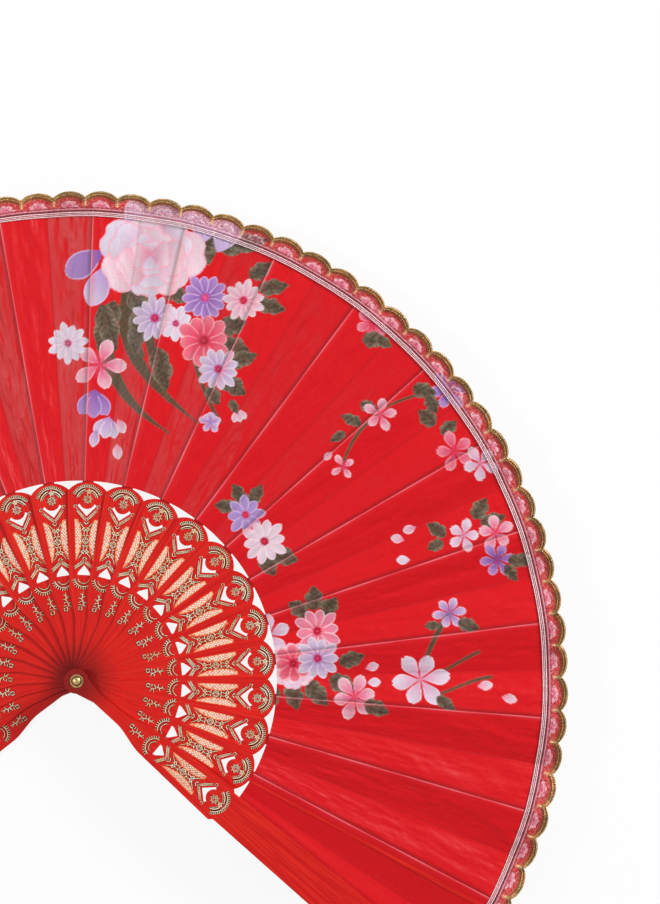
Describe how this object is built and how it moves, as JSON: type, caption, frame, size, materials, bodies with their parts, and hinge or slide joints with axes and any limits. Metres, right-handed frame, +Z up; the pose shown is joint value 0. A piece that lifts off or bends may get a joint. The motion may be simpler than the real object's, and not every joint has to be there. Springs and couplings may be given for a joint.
{
  "type": "folding hand fan",
  "caption": "Folding hand fan with pierced ornamental sticks on one rivet and a pleated printed cloth leaf edged with scalloped lace.",
  "frame": {"origin": "on the rivet's axis, at the underside of the back guard", "axes": "+Z up through the pile of sticks, from the back guard to the front guard; +Y bisects the open leaf; +X to the front guard's side"},
  "size_m": [0.4376, 0.3581, 0.0262],
  "materials": {
    "stick_plastic": "glossy moulded red plastic with gold stamping",
    "leaf_cloth": "red satin with a floral print and a lace edge",
    "rivet_metal": "polished"
  },
  "bodies": {
    "back_guard": {"back_guard": "stick_plastic", "leaf_end_back": "leaf_cloth", "rivet": "rivet_metal", "rivet_washer_back": "rivet_metal", "rivet_washer_front": "rivet_metal"},
    "stick_01": {"stick_01": "stick_plastic", "leaf_panel_01": "leaf_cloth"},
    "stick_02": {"stick_02": "stick_plastic", "leaf_panel_02": "leaf_cloth"},
    "stick_03": {"stick_03": "stick_plastic", "leaf_panel_03": "leaf_cloth"},
    "stick_04": {"stick_04": "stick_plastic", "leaf_panel_04": "leaf_cloth"},
    "stick_05": {"stick_05": "stick_plastic", "leaf_panel_05": "leaf_cloth"},
    "stick_06": {"stick_06": "stick_plastic", "leaf_panel_06": "leaf_cloth"},
    "stick_07": {"stick_07": "stick_plastic", "leaf_panel_07": "leaf_cloth"},
    "stick_08": {"stick_08": "stick_plastic", "leaf_panel_08": "leaf_cloth"},
    "stick_09": {"stick_09": "stick_plastic", "leaf_panel_09": "leaf_cloth"},
    "stick_10": {"stick_10": "stick_plastic", "leaf_panel_10": "leaf_cloth"},
    "stick_11": {"stick_11": "stick_plastic", "leaf_panel_11": "leaf_cloth"},
    "stick_12": {"stick_12": "stick_plastic", "leaf_panel_12": "leaf_cloth"},
    "stick_13": {"stick_13": "stick_plastic", "leaf_panel_13": "leaf_cloth"},
    "stick_14": {"stick_14": "stick_plastic", "leaf_panel_14": "leaf_cloth"},
    "stick_15": {"stick_15": "stick_plastic", "leaf_panel_15": "leaf_cloth"},
    "stick_16": {"stick_16": "stick_plastic", "leaf_panel_16": "leaf_cloth"},
    "stick_17": {"stick_17": "stick_plastic", "leaf_panel_17": "leaf_cloth"},
    "stick_18": {"stick_18": "stick_plastic", "leaf_panel_18": "leaf_cloth"},
    "stick_19": {"stick_19": "stick_plastic", "leaf_panel_19": "leaf_cloth"},
    "stick_20": {"stick_20": "stick_plastic", "leaf_panel_20": "leaf_cloth"},
    "stick_21": {"stick_21": "stick_plastic", "leaf_panel_21": "leaf_cloth"},
    "front_guard": {"front_guard": "stick_plastic", "leaf_end_front": "leaf_cloth"}
  },
  "joints": [
    {"name": "fold_01", "type": "hinge", "parent": "back_guard", "child": "stick_01", "pos_m": [0, 0, 0], "axis": [0, 0, 1], "range_deg": [0, 11.6]},
    {"name": "fold_02", "type": "hinge", "parent": "stick_01", "child": "stick_02", "pos_m": [0, 0, 0], "axis": [0, 0, 1], "range_deg": [0, 11.6]},
    {"name": "fold_03", "type": "hinge", "parent": "stick_02", "child": "stick_03", "pos_m": [0, 0, 0], "axis": [0, 0, 1], "range_deg": [0, 11.6]},
    {"name": "fold_04", "type": "hinge", "parent": "stick_03", "child": "stick_04", "pos_m": [0, 0, 0], "axis": [0, 0, 1], "range_deg": [0, 11.6]},
    {"name": "fold_05", "type": "hinge", "parent": "stick_04", "child": "stick_05", "pos_m": [0, 0, 0], "axis": [0, 0, 1], "range_deg": [0, 11.6]},
    {"name": "fold_06", "type": "hinge", "parent": "stick_05", "child": "stick_06", "pos_m": [0, 0, 0], "axis": [0, 0, 1], "range_deg": [0, 11.6]},
    {"name": "fold_07", "type": "hinge", "parent": "stick_06", "child": "stick_07", "pos_m": [0, 0, 0], "axis": [0, 0, 1], "range_deg": [0, 11.6]},
    {"name": "fold_08", "type": "hinge", "parent": "stick_07", "child": "stick_08", "pos_m": [0, 0, 0], "axis": [0, 0, 1], "range_deg": [0, 11.6]},
    {"name": "fold_09", "type": "hinge", "parent": "stick_08", "child": "stick_09", "pos_m": [0, 0, 0], "axis": [0, 0, 1], "range_deg": [0, 11.6]},
    {"name": "fold_10", "type": "hinge", "parent": "stick_09", "child": "stick_10", "pos_m": [0, 0, 0], "axis": [0, 0, 1], "range_deg": [0, 11.6]},
    {"name": "fold_11", "type": "hinge", "parent": "stick_10", "child": "stick_11", "pos_m": [0, 0, 0], "axis": [0, 0, 1], "range_deg": [0, 11.6]},
    {"name": "fold_12", "type": "hinge", "parent": "stick_11", "child": "stick_12", "pos_m": [0, 0, 0], "axis": [0, 0, 1], "range_deg": [0, 11.6]},
    {"name": "fold_13", "type": "hinge", "parent": "stick_12", "child": "stick_13", "pos_m": [0, 0, 0], "axis": [0, 0, 1], "range_deg": [0, 11.6]},
    {"name": "fold_14", "type": "hinge", "parent": "stick_13", "child": "stick_14", "pos_m": [0, 0, 0], "axis": [0, 0, 1], "range_deg": [0, 11.6]},
    {"name": "fold_15", "type": "hinge", "parent": "stick_14", "child": "stick_15", "pos_m": [0, 0, 0], "axis": [0, 0, 1], "range_deg": [0, 11.6]},
    {"name": "fold_16", "type": "hinge", "parent": "stick_15", "child": "stick_16", "pos_m": [0, 0, 0], "axis": [0, 0, 1], "range_deg": [0, 11.6]},
    {"name": "fold_17", "type": "hinge", "parent": "stick_16", "child": "stick_17", "pos_m": [0, 0, 0], "axis": [0, 0, 1], "range_deg": [0, 11.6]},
    {"name": "fold_18", "type": "hinge", "parent": "stick_17", "child": "stick_18", "pos_m": [0, 0, 0], "axis": [0, 0, 1], "range_deg": [0, 11.6]},
    {"name": "fold_19", "type": "hinge", "parent": "stick_18", "child": "stick_19", "pos_m": [0, 0, 0], "axis": [0, 0, 1], "range_deg": [0, 11.6]},
    {"name": "fold_20", "type": "hinge", "parent": "stick_19", "child": "stick_20", "pos_m": [0, 0, 0], "axis": [0, 0, 1], "range_deg": [0, 11.6]},
    {"name": "fold_21", "type": "hinge", "parent": "stick_20", "child": "stick_21", "pos_m": [0, 0, 0], "axis": [0, 0, 1], "range_deg": [0, 11.6]},
    {"name": "fold_22", "type": "hinge", "parent": "stick_21", "child": "front_guard", "pos_m": [0, 0, 0], "axis": [0, 0, 1], "range_deg": [0, 11.6]}
  ],
  "couplings": [
    {"joint": "fold_02", "follows": "fold_01", "ratio": 1},
    {"joint": "fold_03", "follows": "fold_01", "ratio": 1},
    {"joint": "fold_04", "follows": "fold_01", "ratio": 1},
    {"joint": "fold_05", "follows": "fold_01", "ratio": 1},
    {"joint": "fold_06", "follows": "fold_01", "ratio": 1},
    {"joint": "fold_07", "follows": "fold_01", "ratio": 1},
    {"joint": "fold_08", "follows": "fold_01", "ratio": 1},
    {"joint": "fold_09", "follows": "fold_01", "ratio": 1},
    {"joint": "fold_10", "follows": "fold_01", "ratio": 1},
    {"joint": "fold_11", "follows": "fold_01", "ratio": 1},
    {"joint": "fold_12", "follows": "fold_01", "ratio": 1},
    {"joint": "fold_13", "follows": "fold_01", "ratio": 1},
    {"joint": "fold_14", "follows": "fold_01", "ratio": 1},
    {"joint": "fold_15", "follows": "fold_01", "ratio": 1},
    {"joint": "fold_16", "follows": "fold_01", "ratio": 1},
    {"joint": "fold_17", "follows": "fold_01", "ratio": 1},
    {"joint": "fold_18", "follows": "fold_01", "ratio": 1},
    {"joint": "fold_19", "follows": "fold_01", "ratio": 1},
    {"joint": "fold_20", "follows": "fold_01", "ratio": 1},
    {"joint": "fold_21", "follows": "fold_01", "ratio": 1},
    {"joint": "fold_22", "follows": "fold_01", "ratio": 1}
  ]
}
